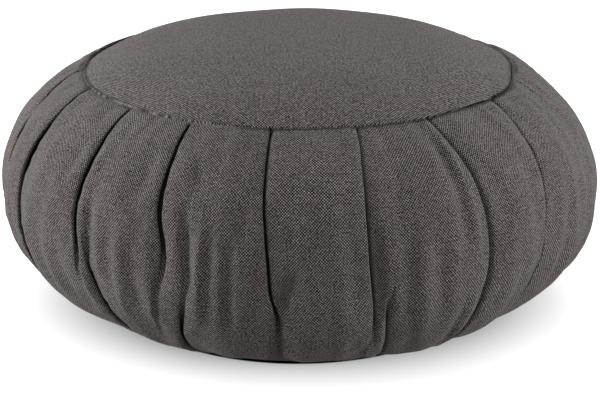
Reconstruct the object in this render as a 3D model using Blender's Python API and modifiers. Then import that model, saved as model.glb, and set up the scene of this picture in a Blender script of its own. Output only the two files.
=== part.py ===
"""Zafu meditation cushion: a tall pleated side between two round panels, stuffed firm.

Metres, +Z up. The origin lies under the middle of the cushion, on the surface that it rests on.
Angles are in degrees from the front of the cushion (-Y), counted positive towards +X.
"""

import math
import random
from collections import namedtuple

import bmesh
import bpy
from mathutils import Vector

# Main sizes of the stuffed cushion
WIDEST_RADIUS = 0.1790
WIDEST_HEIGHT = 0.0695
SEAM_RADIUS = 0.1284
TOP_SEAM_HEIGHT = 0.1485
BOTTOM_SEAM_HEIGHT = 0.0130
CROWN_HEIGHT = 0.1690
RESTING_RADIUS = 0.095

# Each curve of the outline runs from one end to the other and is pulled towards two points: how
# far the first stands from the start and the second from the end, as (radius, height)
UPPER_SIDE_PULLS = ((0.0532, -0.0208), (0.0, 0.0190))
LOWER_SIDE_PULLS = ((0.0, -0.0315), (0.0250, 0.0135))
CROWN_PULLS = ((0.1040, 0.0), (-0.01315, 0.0052))
RESTING_PULLS = ((-0.00935, -0.0046), (0.0110, 0.0))

# Cloth, and how far the pieces stand apart
PANEL_THICKNESS = 0.0020
SEWN_GAP = 0.0004
SEAM_GROOVE = 0.0011
RIM_STEP = 0.0002

# The knife pleats: how far one panel laps over the next, and how thick its folded edge is
LAP_AT_SEAM = 0.008
LAP_AT_WIDEST = 0.005
LEAST_LAP = 0.0008
EDGE_AT_SEAM = 0.0008
EDGE_AT_WIDEST = 0.0021
MOUTH_AT_SEAM = 0.0006
PANEL_PUFF = 0.0012

# The section of a panel, in metres round the side: the wall of the mouth that it comes out of, the
# roll of its folded edge, and how far that edge is tucked back under itself. The shares are how
# much of its width it needs to come up from the mouth, and how far down the roll its edge lies
MOUTH_WALL = 0.0003
EDGE_ROLL = 0.0022
EDGE_TUCK = 0.0006
SHARE_TO_COME_UP = 0.55
SHARE_DOWN_THE_ROLL = 0.45

# How fast a lap comes back away from the widest line, the share of the way to a seam over which a
# pleat takes its form at the seam, and how thick the edge of a pleat without its lap stays
LAP_RETURN = 1.6
SEAM_ZONE = 0.45
LEAST_EDGE = 0.4

# Mesh density
LEVELS_ABOVE = 10
LEVELS_BELOW = 8
FACE_POINTS = 8
POINTS_A_PANEL = FACE_POINTS + 4
CAP_STEP = 4
CROWN_STEPS = 8
RESTING_STEPS = 4
PANEL_STEPS = 51
MERGE_DISTANCE = 0.00001

# Heights at which the table below gives each pleat's angle
TABLE_HEIGHTS = (TOP_SEAM_HEIGHT, 0.110, 0.070, BOTTOM_SEAM_HEIGHT)

# A row for each pleat: the angle of its folded edge at those four heights, how wide its mouth
# stands open at the widest line, and how much of its lap is left there (1 is all, 0 is none)
Pleat = namedtuple("Pleat", "top high low bottom mouth held")
PLEATS = (
    Pleat(-84.0, -79.5, -78.0, -77.0, 0.0022, 0.6),
    Pleat(-65.0, -63.0, -62.5, -60.0, 0.0032, 0.5),
    Pleat(-44.2, -42.7, -40.0, -38.5, 0.0034, 0.3),
    Pleat(-25.5, -24.9, -20.5, -21.0, 0.0026, 0.3),
    Pleat(-6.6, -6.2, -4.8, -4.0, 0.0012, 0.9),
    Pleat(13.0, 11.2, 12.2, 13.6, 0.0014, 0.9),
    Pleat(30.8, 33.0, 32.8, 30.5, 0.0016, 0.8),
    Pleat(55.0, 49.0, 46.5, 45.5, 0.0012, 0.3),
    Pleat(76.0, 69.5, 65.5, 64.0, 0.0012, 0.4),
    Pleat(97.5, 93.0, 91.0, 89.0, 0.0018, 0.6),
    Pleat(119.0, 116.5, 115.0, 113.5, 0.0022, 0.5),
    Pleat(140.5, 139.0, 137.0, 137.5, 0.0016, 0.7),
    Pleat(163.0, 160.5, 161.5, 160.0, 0.0020, 0.4),
    Pleat(185.5, 184.0, 182.0, 182.5, 0.0024, 0.6),
    Pleat(207.0, 206.5, 205.0, 204.0, 0.0014, 0.8),
    Pleat(230.5, 231.0, 229.5, 229.0, 0.0020, 0.5),
    Pleat(253.0, 255.0, 256.5, 256.0, 0.0018, 0.5),
)

# A row for each main fold between the pleats: angle and height of its upper and lower end, how
# far it stands out (or in, if negative), and half its width
Fold = namedtuple("Fold", "top_angle top_height low_angle low_height rise half_width")
FRONT_FOLDS = (
    Fold(-38.8, 0.106, -37.2, 0.040, -0.0038, 0.0060),
    Fold(-17.6, 0.112, -20.8, 0.026, -0.0040, 0.0060),
    Fold(-31.5, 0.108, -31.0, 0.060, -0.0020, 0.0080),
    Fold(-12.8, 0.104, -13.5, 0.050, 0.0018, 0.0070),
    Fold(8.6, 0.100, 9.0, 0.060, -0.0016, 0.0070),
    Fold(14.2, 0.112, 14.2, 0.030, 0.0024, 0.0055),
    Fold(22.0, 0.100, 22.0, 0.045, 0.0016, 0.0090),
    Fold(30.3, 0.140, 30.6, 0.100, 0.0018, 0.0050),
    Fold(40.5, 0.100, 39.0, 0.050, 0.0020, 0.0090),
    Fold(56.0, 0.105, 54.5, 0.050, -0.0022, 0.0090),
    Fold(-71.0, 0.110, -70.0, 0.050, 0.0018, 0.0090),
    Fold(-52.0, 0.105, -50.0, 0.045, 0.0020, 0.0090),
)

# The share of a fold's length over which it fades out at each end
FOLD_FADE = 0.5

# The folds of the panels that face away from the front, two for each, and how far chance moves
# each one: as a share of the panel, in degrees of lean, in height, and as a range of its rise
HIDDEN_FROM = 8
HIDDEN_FOLD_PLACES = (0.30, 0.68)
HIDDEN_FOLD_RISES = (-0.0028, 0.0022)
HIDDEN_FOLD_TOP = 0.104
HIDDEN_FOLD_LOW = 0.046
HIDDEN_FOLD_HALF_WIDTH = 0.0085
FOLD_DRIFT = 0.06
FOLD_LEAN = 1.5
FOLD_SHIFT = 0.008
FOLD_RISES = (0.7, 1.2)
FOLD_SEED = 11

CLOTH_ROUGHNESS = 0.92
SIDE_COLOUR = (0.100, 0.088, 0.085, 1.0)
TOP_COLOUR = (0.130, 0.115, 0.110, 1.0)
BOTTOM_COLOUR = (0.090, 0.080, 0.077, 1.0)


def clear_scene():
    for obj in list(bpy.data.objects):
        bpy.data.objects.remove(obj, do_unlink=True)


def cloth_material(name, colour):
    material = bpy.data.materials.new(name)
    material.use_nodes = True
    shader = material.node_tree.nodes["Principled BSDF"]
    shader.inputs["Base Color"].default_value = colour
    shader.inputs["Roughness"].default_value = CLOTH_ROUGHNESS
    shader.inputs["Metallic"].default_value = 0.0
    material.diffuse_color = colour
    return material


def bezier(start, end, pulls, count):
    """Points along a cubic curve in the upright plane, as (radius, height)."""
    first_pull = (start[0] + pulls[0][0], start[1] + pulls[0][1])
    second_pull = (end[0] + pulls[1][0], end[1] + pulls[1][1])
    guides = (start, first_pull, second_pull, end)
    points = []
    for i in range(count + 1):
        t = i / count
        weights = ((1 - t) ** 3, 3 * t * (1 - t) ** 2, 3 * t**2 * (1 - t), t**3)
        radius = sum(w * p[0] for w, p in zip(weights, guides))
        height = sum(w * p[1] for w, p in zip(weights, guides))
        points.append((radius, height))
    return points


def offset(profile, distance):
    """The profile moved to the left of its own direction by distance."""
    moved = []
    for i, (radius, height) in enumerate(profile):
        before = profile[max(i - 1, 0)]
        after = profile[min(i + 1, len(profile) - 1)]
        along = Vector((after[0] - before[0], after[1] - before[1])).normalized()
        moved.append((radius - along.y * distance, height + along.x * distance))
    return moved


def smoothstep(x):
    x = min(max(x, 0.0), 1.0)
    return x * x * (3 - 2 * x)


def between_heights(values, height):
    """A value of the pleat table at this height, eased from one table height to the next."""
    for i in range(len(TABLE_HEIGHTS) - 1):
        upper, lower = TABLE_HEIGHTS[i], TABLE_HEIGHTS[i + 1]
        if height >= lower:
            down = smoothstep((upper - height) / (upper - lower))
            return values[i] + (values[i + 1] - values[i]) * down
    return values[-1]


def pleat_angle(pleat, height):
    return between_heights((pleat.top, pleat.high, pleat.low, pleat.bottom), height)


def side_profile():
    """The side from the top seam, over its widest line, to the bottom seam."""
    sewn_radius = SEAM_RADIUS + SEAM_GROOVE / 2
    top = (sewn_radius, TOP_SEAM_HEIGHT)
    widest = (WIDEST_RADIUS, WIDEST_HEIGHT)
    bottom = (sewn_radius, BOTTOM_SEAM_HEIGHT)
    upper = bezier(top, widest, UPPER_SIDE_PULLS, LEVELS_ABOVE)
    lower = bezier(widest, bottom, LOWER_SIDE_PULLS, LEVELS_BELOW)
    return upper + lower[1:]


def crown_profile():
    """The outer face of the top panel, from its middle to its sewn edge."""
    rim = (SEAM_RADIUS - SEAM_GROOVE / 2, TOP_SEAM_HEIGHT + RIM_STEP)
    return bezier((0.0, CROWN_HEIGHT), rim, CROWN_PULLS, CROWN_STEPS)


def resting_profile():
    """The outer face of the bottom panel, from its sewn edge to its flat middle."""
    rim = (SEAM_RADIUS - SEAM_GROOVE / 2, BOTTOM_SEAM_HEIGHT - RIM_STEP)
    curve = bezier(rim, (RESTING_RADIUS, 0.0), RESTING_PULLS, RESTING_STEPS)
    return curve + [(RESTING_RADIUS / 2, 0.0), (0.0, 0.0)]


def hidden_folds():
    """Two soft folds on each panel that the front view doesn't show, at uneven places."""
    chance = random.Random(FOLD_SEED)
    folds = []
    for i in range(HIDDEN_FROM, len(PLEATS)):
        start = PLEATS[i].low
        end = PLEATS[i + 1].low if i + 1 < len(PLEATS) else PLEATS[0].low + 360
        for place, rise in zip(HIDDEN_FOLD_PLACES, HIDDEN_FOLD_RISES):
            angle = start + (end - start) * (place + chance.uniform(-FOLD_DRIFT, FOLD_DRIFT))
            lean = chance.uniform(-FOLD_LEAN, FOLD_LEAN)
            folds.append(
                Fold(
                    angle,
                    HIDDEN_FOLD_TOP + chance.uniform(-FOLD_SHIFT, FOLD_SHIFT),
                    angle + lean,
                    HIDDEN_FOLD_LOW + chance.uniform(-FOLD_SHIFT, FOLD_SHIFT),
                    rise * chance.uniform(*FOLD_RISES),
                    HIDDEN_FOLD_HALF_WIDTH,
                )
            )
    return folds


def fold_rise(folds, angle, radius, height):
    """How far the main folds lift the cloth at a point of the side."""
    rise = 0.0
    for fold in folds:
        length = fold.top_height - fold.low_height
        down = (fold.top_height - height) / length
        centre = fold.top_angle + (fold.low_angle - fold.top_angle) * down
        turn = (angle - centre + 180) % 360 - 180
        across = math.radians(turn) * radius / fold.half_width
        fade_in = smoothstep(down / FOLD_FADE + 0.5)
        fade_out = smoothstep((1 - down) / FOLD_FADE + 0.5)
        rise += fold.rise * fade_in * fade_out * math.exp(-across * across)
    return rise


def pleat_form(pleat, height):
    """Lap, edge thickness and mouth of a pleat at this height."""
    if height > WIDEST_HEIGHT:
        away = (height - WIDEST_HEIGHT) / (TOP_SEAM_HEIGHT - WIDEST_HEIGHT)
    else:
        away = (WIDEST_HEIGHT - height) / (WIDEST_HEIGHT - BOTTOM_SEAM_HEIGHT)
    kept = pleat.held + (1 - pleat.held) * smoothstep(away * LAP_RETURN)
    near_seam = smoothstep(1 - (1 - away) / SEAM_ZONE)
    lap = (LAP_AT_WIDEST + (LAP_AT_SEAM - LAP_AT_WIDEST) * near_seam) * kept
    edge = EDGE_AT_WIDEST + (EDGE_AT_SEAM - EDGE_AT_WIDEST) * near_seam
    mouth = pleat.mouth + (MOUTH_AT_SEAM - pleat.mouth) * near_seam
    return max(lap, LEAST_LAP), edge * (LEAST_EDGE + (1 - LEAST_EDGE) * kept), mouth


def section(height, radius, folds):
    """One level round the side, as (angle in radians, depth below the full form).

    Each panel starts inside the lap of the one before it, comes out from under its edge, puffs out
    across its face, and ends in its own folded edge.
    """
    points = []
    for i, pleat in enumerate(PLEATS):
        following = PLEATS[(i + 1) % len(PLEATS)]
        start = math.radians(pleat_angle(pleat, height))
        end = math.radians(pleat_angle(following, height))
        if end < start:
            end += 2 * math.pi
        lap, edge, mouth = pleat_form(pleat, height)
        next_edge = pleat_form(following, height)[1]
        depth = edge + mouth
        points.append((start - lap / radius, edge + mouth / 2))
        points.append((start + MOUTH_WALL / radius, depth))
        for j in range(1, FACE_POINTS):
            share = j / FACE_POINTS
            angle = start + (end - start) * share
            low = depth * (1 - smoothstep(share / SHARE_TO_COME_UP))
            puff = PANEL_PUFF * math.sin(math.pi * share)
            rise = fold_rise(folds, math.degrees(angle), radius, height)
            points.append((angle, low - puff - rise))
        points.append((end - EDGE_ROLL / radius, 0.0))
        points.append((end, next_edge * SHARE_DOWN_THE_ROLL))
        points.append((end - EDGE_TUCK / radius, next_edge))
    return points


def plain_section():
    """The same points as section gives, with no lap or depth, for the sewn edge in the seam."""
    points = []
    for i, pleat in enumerate(PLEATS):
        start = math.radians(pleat.top)
        end = math.radians(PLEATS[(i + 1) % len(PLEATS)].top)
        if end < start:
            end += 2 * math.pi
        for j in range(POINTS_A_PANEL):
            points.append((start + (end - start) * (j + 0.5) / POINTS_A_PANEL, 0.0))
    return points


def place(angle, radius, height):
    return Vector((radius * math.sin(angle), -radius * math.cos(angle), height))


def add_ring(mesh, spots, radius, height, normal):
    ring = []
    for angle, depth in spots:
        spot = place(angle, radius - depth * normal[0], height - depth * normal[1])
        ring.append(mesh.verts.new(spot))
    return ring


def loft(mesh, upper, lower):
    """Faces between two rings with the same number of points."""
    for i, corner in enumerate(upper):
        j = (i + 1) % len(upper)
        mesh.faces.new((corner, lower[i], lower[j], upper[j]))


def loft_to_coarse(mesh, fine, coarse):
    """Faces between a ring and one with a point for every CAP_STEP of its points."""
    for i, corner in enumerate(fine):
        j = (i + 1) % len(fine)
        near = coarse[(i + CAP_STEP // 2) // CAP_STEP % len(coarse)]
        after = coarse[(i + 1 + CAP_STEP // 2) // CAP_STEP % len(coarse)]
        mesh.faces.new((corner, fine[j], near))
        if near != after:
            mesh.faces.new((near, fine[j], after))


def close_cap(mesh, rim, angles, profile):
    """A coarse cap from the rim ring to the axis, through the (radius, height) points given."""
    coarse_angles = angles[::CAP_STEP]
    ring = [mesh.verts.new(place(a, *profile[0])) for a in coarse_angles]
    loft_to_coarse(mesh, rim, ring)
    for radius, height in profile[1:-1]:
        inner = [mesh.verts.new(place(a, radius, height)) for a in coarse_angles]
        loft(mesh, inner, ring)
        ring = inner
    middle = mesh.verts.new((0.0, 0.0, profile[-1][1]))
    for i, corner in enumerate(ring):
        mesh.faces.new((middle, corner, ring[(i + 1) % len(ring)]))


def profile_normals(profile):
    """Outward normals of a profile that runs down its outer side."""
    moved = offset(profile, 1.0)
    return [(m[0] - p[0], m[1] - p[1]) for m, p in zip(moved, profile)]


def make_side(collection, material):
    """The pleated strip with its filling: a loft of pleated sections, closed under both panels."""
    mesh = bmesh.new()
    folds = list(FRONT_FOLDS) + hidden_folds()
    profile = side_profile()
    normals = profile_normals(profile)
    rings = []
    for (radius, height), normal in zip(profile, normals):
        rings.append(add_ring(mesh, section(height, radius, folds), radius, height, normal))
    for upper, lower in zip(rings, rings[1:]):
        loft(mesh, upper, lower)

    depth = PANEL_THICKNESS + SEWN_GAP
    plain = plain_section()
    angles = [angle for angle, _ in plain]
    groove_radius = SEAM_RADIUS + SEAM_GROOVE / 2 - SEWN_GAP
    groove_depth = depth + SEWN_GAP
    upright = (0.0, 0.0)
    top_groove = add_ring(mesh, plain, groove_radius, TOP_SEAM_HEIGHT - groove_depth, upright)
    loft(mesh, top_groove, rings[0])
    bottom_groove = add_ring(mesh, plain, groove_radius, BOTTOM_SEAM_HEIGHT + groove_depth, upright)
    loft(mesh, rings[-1], bottom_groove)

    under_crown = offset(crown_profile(), -depth)
    close_cap(mesh, top_groove, angles, under_crown[-2:0:-2] + [(0.0, CROWN_HEIGHT - depth)])
    over_rest = offset(resting_profile(), -depth)
    close_cap(mesh, bottom_groove, angles, over_rest[1:-1] + [(0.0, depth)])

    bmesh.ops.recalc_face_normals(mesh, faces=mesh.faces)
    return add_object(collection, "pleated_side", mesh, material)


def add_object(collection, name, mesh, material):
    data = bpy.data.meshes.new(name)
    mesh.to_mesh(data)
    mesh.free()
    data.shade_smooth()
    data.materials.append(material)
    obj = bpy.data.objects.new(name, data)
    collection.objects.link(obj)
    return obj


def turned_panel(collection, name, outline, material):
    """A round panel: its section turned about the upright axis."""
    mesh = bmesh.new()
    points = [mesh.verts.new((radius, 0.0, height)) for radius, height in outline]
    for first, second in zip(points, points[1:]):
        mesh.edges.new((first, second))
    obj = add_object(collection, name, mesh, material)
    screw = obj.modifiers.new("turn", "SCREW")
    screw.axis = "Z"
    screw.steps = PANEL_STEPS
    screw.render_steps = PANEL_STEPS
    screw.use_merge_vertices = True
    screw.merge_threshold = MERGE_DISTANCE
    return obj


def make_top_panel(collection, material):
    face = crown_profile()
    back = offset(face, -PANEL_THICKNESS)
    back[0] = (0.0, CROWN_HEIGHT - PANEL_THICKNESS)
    return turned_panel(collection, "top_panel", face + back[::-1], material)


def make_bottom_panel(collection, material):
    face = resting_profile()
    back = offset(face, -PANEL_THICKNESS)
    back[-1] = (0.0, PANEL_THICKNESS)
    return turned_panel(collection, "bottom_panel", back[::-1] + face, material)


def hang_on_middle(collection, side):
    """Parents the pieces to an empty that brings the middle of the uneven side over the origin."""
    corners = [vertex.co for vertex in side.data.vertices]
    middle = bpy.data.objects.new("middle", None)
    collection.objects.link(middle)
    for axis in (0, 1):
        reach = [corner[axis] for corner in corners]
        middle.location[axis] = -(min(reach) + max(reach)) / 2
    for obj in collection.objects:
        if obj != middle:
            obj.parent = middle


def main():
    clear_scene()
    collection = bpy.data.collections.new("zafu_cushion")
    bpy.context.scene.collection.children.link(collection)
    side = make_side(collection, cloth_material("side_cloth", SIDE_COLOUR))
    make_top_panel(collection, cloth_material("top_cloth", TOP_COLOUR))
    make_bottom_panel(collection, cloth_material("bottom_cloth", BOTTOM_COLOUR))
    hang_on_middle(collection, side)


main()
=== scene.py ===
# %% [markdown]
# # A round meditation cushion with a pleated side
# The real cushion is three pieces of heavy canvas: a round panel on top, a round panel
# underneath, and between them one long strip, laid in knife pleats and stuffed firm. This script
# builds the looks of each piece around a packed, fixed model of the same size. It goes from the
# frame, the camera and the light to the strip, the panels and, last, the weave.

import math

import bpy
import numpy as np
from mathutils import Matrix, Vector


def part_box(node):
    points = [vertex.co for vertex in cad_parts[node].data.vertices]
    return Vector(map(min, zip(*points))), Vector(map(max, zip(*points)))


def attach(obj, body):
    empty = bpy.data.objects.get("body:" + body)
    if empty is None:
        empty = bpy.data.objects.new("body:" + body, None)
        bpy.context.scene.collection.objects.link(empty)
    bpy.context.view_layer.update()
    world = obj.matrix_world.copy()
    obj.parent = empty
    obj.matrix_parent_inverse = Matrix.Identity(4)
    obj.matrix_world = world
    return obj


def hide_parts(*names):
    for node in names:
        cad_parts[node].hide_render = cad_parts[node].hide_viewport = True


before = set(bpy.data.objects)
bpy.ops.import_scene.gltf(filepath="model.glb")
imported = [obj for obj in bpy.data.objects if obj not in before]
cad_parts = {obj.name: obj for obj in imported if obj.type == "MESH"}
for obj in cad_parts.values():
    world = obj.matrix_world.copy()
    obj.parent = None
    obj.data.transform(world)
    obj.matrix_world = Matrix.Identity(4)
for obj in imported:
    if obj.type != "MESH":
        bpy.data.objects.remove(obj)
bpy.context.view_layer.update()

# %% [markdown]
# ## Where things are
# Both panels are round and sewn in at the same radius, so the middle of the top panel gives the
# upright axis of the cushion. Heights are measured from the floor. Angles are counted in degrees
# from the front of the cushion, positive to the right, because that is how the pleats are read off.

# %% Sizes from the frame
top_low, top_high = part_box("top_panel")
AXIS_X = (top_low.x + top_high.x) / 2
AXIS_Y = (top_low.y + top_high.y) / 2
CROWN_HEIGHT = top_high.z
SEAM_RADIUS = 0.1284
TOP_SEAM_HEIGHT = 0.1485
BOTTOM_SEAM_HEIGHT = 0.0130
WIDEST_RADIUS = 0.1790
WIDEST_HEIGHT = 0.0695
RESTING_RADIUS = 0.095
PANEL_THICKNESS = 0.0018
MM = 0.001
print("axis at", round(AXIS_X, 5), round(AXIS_Y, 5), "crown at", round(CROWN_HEIGHT, 4))

# %% [markdown]
# ## Camera and light
# The camera looks at the front of the cushion from a little above it. Its height, distance and
# lens were found by setting this cushion's outline and seam over the ones to be matched. The
# light is what a catalogue uses: large soft lights overhead and high in front, and lower ones at
# both sides that reach in under the widest line.

# %% Camera
CAMERA_ELEVATION = math.radians(20.84)
CAMERA_DISTANCE = 0.8054
AIM_HEIGHT = 0.0608
AIM_RIGHT = 0.0006
FOCAL_PIXELS = 1285.4
FRAME_WIDTH_PIXELS = 600
SENSOR_WIDTH = 36.0

camera_data = bpy.data.cameras.new("camera")
camera_data.sensor_width = SENSOR_WIDTH
camera_data.lens = FOCAL_PIXELS / FRAME_WIDTH_PIXELS * SENSOR_WIDTH
camera = bpy.data.objects.new("camera", camera_data)
bpy.context.scene.collection.objects.link(camera)
camera.location = (
    AXIS_X + AIM_RIGHT,
    AXIS_Y - CAMERA_DISTANCE * math.cos(CAMERA_ELEVATION),
    AIM_HEIGHT + CAMERA_DISTANCE * math.sin(CAMERA_ELEVATION),
)
camera.rotation_euler = (math.pi / 2 - CAMERA_ELEVATION, 0.0, 0.0)
bpy.context.scene.camera = camera
print("lens", round(camera_data.lens, 1), "mm")


# %% Lights
def soft_light(name, place, aim, size, power):
    """A square soft light at place, facing aim."""
    data = bpy.data.lights.new(name, "AREA")
    data.size = size
    data.energy = power
    light = bpy.data.objects.new(name, data)
    bpy.context.scene.collection.objects.link(light)
    light.location = place
    towards = [a - p for a, p in zip(aim, place)]
    flat = math.hypot(towards[0], towards[1])
    light.rotation_euler = (math.atan2(flat, -towards[2]), 0.0, math.atan2(-towards[0], towards[1]))
    return light


CUSHION_MIDDLE = (AXIS_X, AXIS_Y, 0.08)
# name, place, size of the square and power
LIGHTS = (
    ("overhead", (0.0, 0.60, 1.55), 1.2, 12.4),
    ("high_front", (0.0, -1.00, 1.30), 0.9, 7.2),
    ("left_side", (-1.50, 0.20, 0.60), 0.8, 7.5),
    ("right_side", (1.50, 0.20, 0.60), 0.8, 0.6),
    ("left_low", (-1.40, -0.30, 0.22), 0.4, 13.5),
    ("right_low", (1.40, -0.30, 0.22), 0.4, 14.0),
)
for light_name, place, size, power in LIGHTS:
    soft_light(light_name, place, CUSHION_MIDDLE, size, power)

ROOM_LIGHT = 0.03
world = bpy.data.worlds.new("studio")
world.use_nodes = True
world.node_tree.nodes["Background"].inputs["Color"].default_value = (1.0, 1.0, 1.0, 1.0)
world.node_tree.nodes["Background"].inputs["Strength"].default_value = ROOM_LIGHT
bpy.context.scene.world = world
bpy.context.scene.view_settings.view_transform = "Standard"
print("lights:", len(LIGHTS))

# %% [markdown]
# ## Materials written as sums
# A material is a graph of small nodes, and a graph that is placed node by node hides what it works
# out. So a small class wraps the output of a node, and each +, -, * or / written with it adds a
# Math node. The glow of the table and the weave of the canvas then read as formulas.


# %% A short way to write materials
class Shade:
    """The output of a shader node, with arithmetic that adds the nodes for it."""

    def __init__(self, tree, socket=None):
        self.tree = tree
        self.socket = socket

    def node(self, kind, settings=None, inputs=None, output=0):
        """Add a node of any kind, set it up, and return one of its outputs."""
        made = self.tree.nodes.new(kind)
        for name, value in (settings or {}).items():
            setattr(made, name, value)
        for name, value in (inputs or {}).items():
            if isinstance(value, Shade):
                self.tree.links.new(value.socket, made.inputs[name])
            else:
                made.inputs[name].default_value = value
        return Shade(self.tree, made.outputs[output])

    def math(self, operation, *values):
        """A Math node over some values."""
        return self.node("ShaderNodeMath", {"operation": operation}, dict(enumerate(values)))

    def __add__(self, other):
        return self.math("ADD", self, other)

    def __sub__(self, other):
        return self.math("SUBTRACT", self, other)

    def __rsub__(self, other):
        return self.math("SUBTRACT", other, self)

    def __mul__(self, other):
        return self.math("MULTIPLY", self, other)

    def __truediv__(self, other):
        return self.math("DIVIDE", self, other)

    def __rtruediv__(self, other):
        return self.math("DIVIDE", other, self)

    __radd__ = __add__
    __rmul__ = __mul__

    def sine(self):
        """The sine of this value."""
        return self.math("SINE", self)

    def limited(self):
        """This value, held between 0 and 1."""
        return self.math("MINIMUM", self.math("MAXIMUM", self, 0.0), 1.0)

    def noise(self, size, detail=2.0):
        """Soft noise over this vector, with patches of about the given size in metres."""
        inputs = {"Vector": self, "Scale": 1.0 / size, "Detail": detail, "Roughness": 0.55}
        return self.node("ShaderNodeTexNoise", {}, inputs)

    def stretched(self, scale):
        """This vector with each of its parts multiplied by its own number."""
        return self.node("ShaderNodeMapping", {}, {"Vector": self, "Scale": scale})

    def part(self, number):
        """One part of this vector: 0 for x, 1 for y and 2 for z."""
        return self.node("ShaderNodeSeparateXYZ", {}, {0: self}, output=number)

    def feed(self, surface, name):
        """Link this value to a socket of the surface."""
        self.tree.links.new(self.socket, surface.inputs[name])


# %% [markdown]
# ## The white table
# In a catalogue picture the table is so bright that it runs into the backdrop, and only a soft
# shade around the cushion shows where it stands. A plain white plane would show the shadow of each
# light. So this one glows by itself, with its shade painted into the glow: full further out, less
# and less towards the cushion as a painted soft shadow, and none at all under it, where a painted
# shadow leaves it black. Only the camera sees that glow. A plain plane just below it, which the
# camera doesn't see, throws the light of the lamps back up at the canvas.

# %% Planes
TABLE_SIZE = 12.0
TABLE_WHITE = 0.50
TABLE_ROUGHNESS = 0.9
TABLE_SHINE = 0.1
BOUNCE_WHITE = 0.50
BOUNCE_DEPTH = 0.0005


def new_material(name, **values):
    """A material, and its main shader with some sockets set; _ stands for a space in their names."""
    material = bpy.data.materials.new(name)
    material.use_nodes = True
    surface = material.node_tree.nodes["Principled BSDF"]
    for socket, value in values.items():
        surface.inputs[socket.replace("_", " ")].default_value = value
    return material, surface


def table_plane(name, height, white):
    """A wide plane with a plain matte surface; gives the plane and its shader."""
    bpy.ops.object.select_all(action="DESELECT")
    bpy.ops.mesh.primitive_plane_add(size=TABLE_SIZE, location=(0.0, 0.0, height))
    plane = bpy.context.active_object
    plane.name = name
    grey = (white, white, white, 1.0)
    material, surface = new_material(
        name, Base_Color=grey, Roughness=TABLE_ROUGHNESS, Specular_IOR_Level=TABLE_SHINE
    )
    plane.data.materials.append(material)
    return plane, surface


def only_seen(thing):
    """Let the camera see a glowing piece, and keep its light off the cushion."""
    for ray in ("diffuse", "glossy", "shadow"):
        setattr(thing, "visible_" + ray, False)


table, table_surface = table_plane("table_top", 0.0, TABLE_WHITE)
only_seen(table)
under_table, _ = table_plane("table_bounce", -BOUNCE_DEPTH, BOUNCE_WHITE)
under_table.visible_camera = False
print("table ready")

# %% Glow of the table
# the glow grows from GLOW_START to GLOW_END, a painted soft shadow round the cushion; a black patch
# of painted shadow lies under the cushion, and the three numbers after GLOW_SHAPE give its end, its shape
# and the width of its edge
TABLE_GLOW = 0.95
GLOW_START = 0.085
GLOW_END = 0.150
GLOW_SHAPE = 0.75
PAINTED_SHADOW_END = 0.1030
PAINTED_SHADOW_SHAPE = 0.93
PAINTED_SHADOW_EDGE = 0.0010

table_start = Shade(table.data.materials[0].node_tree)
table_spot = table_start.node("ShaderNodeTexCoord", output=3)


def from_middle(shape):
    """Distance from the middle of the table, with the way to either side counted less."""
    drawn_in = table_spot.stretched((shape, 1.0, 1.0))
    return table_start.node("ShaderNodeVectorMath", {"operation": "LENGTH"}, {0: drawn_in}, output=1)


# painted shadow: the glow falls off towards the cushion, and both the glow and the white are cut to black
# under it
glow_share = ((from_middle(GLOW_SHAPE) - GLOW_START) / (GLOW_END - GLOW_START)).limited()
clear = ((from_middle(PAINTED_SHADOW_SHAPE) - PAINTED_SHADOW_END) / PAINTED_SHADOW_EDGE).limited()
glow = (glow_share * (math.pi / 2)).sine() * clear
glow.feed(table_surface, "Emission Color")
(clear * TABLE_WHITE).feed(table_surface, "Base Color")
table_surface.inputs["Emission Strength"].default_value = TABLE_GLOW
print("nodes in the glow:", len(table_start.tree.nodes))

# %% Backdrop
BACKDROP_RADIUS = 5.0
BACKDROP_HEIGHT = 8.0
BACKDROP_BELOW = 0.5
BACKDROP_SIDES = 96
BLACK = (0.0, 0.0, 0.0, 1.0)
WHITE = (1.0, 1.0, 1.0, 1.0)

bpy.ops.object.select_all(action="DESELECT")
bpy.ops.mesh.primitive_cylinder_add(
    vertices=BACKDROP_SIDES,
    radius=BACKDROP_RADIUS,
    depth=BACKDROP_HEIGHT,
    end_fill_type="NOTHING",
    location=(0.0, 0.0, BACKDROP_HEIGHT / 2 - BACKDROP_BELOW),
)
backdrop = bpy.context.active_object
backdrop.name = "backdrop"
paper, _ = new_material("backdrop_paper", Base_Color=BLACK, Emission_Color=WHITE, Emission_Strength=1.0)
backdrop.data.materials.append(paper)
only_seen(backdrop)
print("backdrop", BACKDROP_HEIGHT, "m high")

# %% [markdown]
# ## The profile of the stuffed side
# Seen in section, the strip leaves the top seam nearly level, turns down over the widest line and
# comes in again to the bottom seam. Two cubic curves give that line. Each level of the cushion is
# a point on it, with the direction in which the stuffing pushes the cloth there. At both ends the
# cloth turns over a small roll into the seam, as sewn edges do.


# %% Curves and easing
def bezier(start, first_pull, second_pull, end, shares):
    """Points of a cubic curve at the given shares of its length, one row each."""
    t = np.asarray(shares, float)[:, None]
    weights = ((1 - t) ** 3, 3 * t * (1 - t) ** 2, 3 * t**2 * (1 - t), t**3)
    points = (start, first_pull, second_pull, end)
    return sum(weight * np.array(point, float) for weight, point in zip(weights, points))


def ease(x):
    """0 below 0, 1 above 1, and smooth between them."""
    x = np.clip(x, 0.0, 1.0)
    return x * x * (3 - 2 * x)


def ramp(x, start, end):
    """0 on the near side of start, 1 past end, and smooth between them, in either direction."""
    return ease((x - start) / (end - start))


def zone(x, start, whole, still_whole, end):
    """1 from whole to still_whole, 0 outside start and end, and smooth between them."""
    return ramp(x, start, whole) * ramp(x, end, still_whole)


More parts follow.
